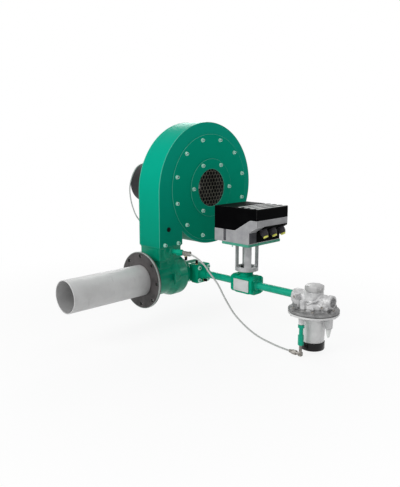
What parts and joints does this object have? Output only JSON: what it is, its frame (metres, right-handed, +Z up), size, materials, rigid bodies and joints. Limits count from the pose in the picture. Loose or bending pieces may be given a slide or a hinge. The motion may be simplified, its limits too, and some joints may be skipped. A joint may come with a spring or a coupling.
{
  "type": "industrial gas burner",
  "caption": "Packaged gas burner: flanged combustion tube and cast body under a radial blower, with a motor driven gas valve and an air/gas ratio regulator in its gas pipe.",
  "frame": {"origin": "centre of the mounting flange's furnace side face, on the combustion tube's axis", "axes": "combustion tube points to -X, blower inlet and gas train to -Y, +Z up"},
  "size_m": [0.8644, 1.0122, 0.7572],
  "materials": {
    "green_paint": "satin enamel",
    "tube_steel": "drawn tube, satin",
    "dark_steel": "blackened steel",
    "plated_steel": "zinc plated",
    "cast_aluminium": "die cast, blasted",
    "black_plastic": "fine grain",
    "black_rubber": "smooth",
    "yellow_plastic": "smooth",
    "brass": "turned",
    "white_ceramic": "glazed ceramic",
    "white_plastic": "smooth",
    "grey_tubing": "smooth",
    "motor_paint": "semi gloss"
  },
  "bodies": {
    "burner": {"actuator_base": "cast_aluminium", "actuator_cover": "black_plastic", "actuator_drive": "dark_steel", "adapter_plate": "green_paint", "air_tap_nipple": "green_paint", "air_tap_tee": "brass", "blower_housing": "green_paint", "burner_body": "green_paint", "combustion_tube": "tube_steel", "fan_cowl": "motor_paint", "flame_electrode": "white_ceramic", "front_bearing": "plated_steel", "gas_housing": "green_paint", "gas_inlet_flange": "green_paint", "gas_tube": "tube_steel", "gland_plug_left": "yellow_plastic", "gland_plug_middle": "yellow_plastic", "gland_plug_right": "yellow_plastic", "hole_plug": "black_rubber", "impulse_adapter": "green_paint", "impulse_elbow": "brass", "impulse_tube": "grey_tubing", "inlet_cone": "dark_steel", "inlet_cover": "green_paint", "inlet_grille": "dark_steel", "inlet_pipe": "green_paint", "inlet_ring": "green_paint", "motor_cable": "grey_tubing", "motor_frame": "motor_paint", "motor_front_shield": "motor_paint", "motor_rear_shield": "motor_paint", "mounting_flange": "dark_steel", "nozzle": "dark_steel", "orifice_plate": "plated_steel", "rear_bearing": "plated_steel", "rear_cover": "green_paint", "regulator_body": "cast_aluminium", "regulator_diaphragm": "black_rubber", "regulator_lower_casing": "cast_aluminium", "regulator_pipe": "green_paint", "regulator_spring": "plated_steel", "regulator_top_cap": "cast_aluminium", "spacer_cage": "cast_aluminium", "spark_electrode": "white_ceramic", "terminal_box": "motor_paint", "test_cap_inlet_front": "black_rubber", "test_cap_inlet_top": "black_rubber", "test_cap_tee_bottom": "black_rubber", "test_cap_tee_side": "black_rubber", "valve_body": "green_paint", "vent_plug": "white_plastic"},
    "rotor": {"motor_shaft": "tube_steel", "impeller": "dark_steel", "cooling_fan": "black_plastic"},
    "valve_spindle": {"valve_rotor": "brass", "shaft_coupling": "plated_steel", "position_indicator": "white_plastic"},
    "regulator_stem": {"regulator_valve": "brass"},
    "adjuster": {"spring_adjuster": "brass"},
    "cap": {"bottom_cap": "black_plastic"}
  },
  "joints": [
    {"name": "fan_spin", "type": "hinge", "parent": "burner", "child": "rotor", "pos_m": [0.30895, 0.1, 0.327], "axis": [0, 1, 0], "continuous": true},
    {"name": "valve_turn", "type": "hinge", "parent": "burner", "child": "valve_spindle", "pos_m": [0.2436, -0.306, 0.1], "axis": [0, 0, 1], "range_deg": [0, 90]},
    {"name": "regulator_lift", "type": "slide", "parent": "burner", "child": "regulator_stem", "axis": [0, 0, 1], "range_m": [-0.002, 0.004], "stiffness_N_per_m": 800, "deforming": ["regulator_spring"]},
    {"name": "adjuster_turn", "type": "hinge", "parent": "burner", "child": "adjuster", "pos_m": [0.2436, -0.5933, -0.144], "axis": [0, 0, 1], "range_deg": [-720, 0]},
    {"name": "cap_unscrew", "type": "hinge", "parent": "burner", "child": "cap", "pos_m": [0.2436, -0.5933, -0.155], "axis": [0, 0, 1], "range_deg": [0, 1440]}
  ]
}
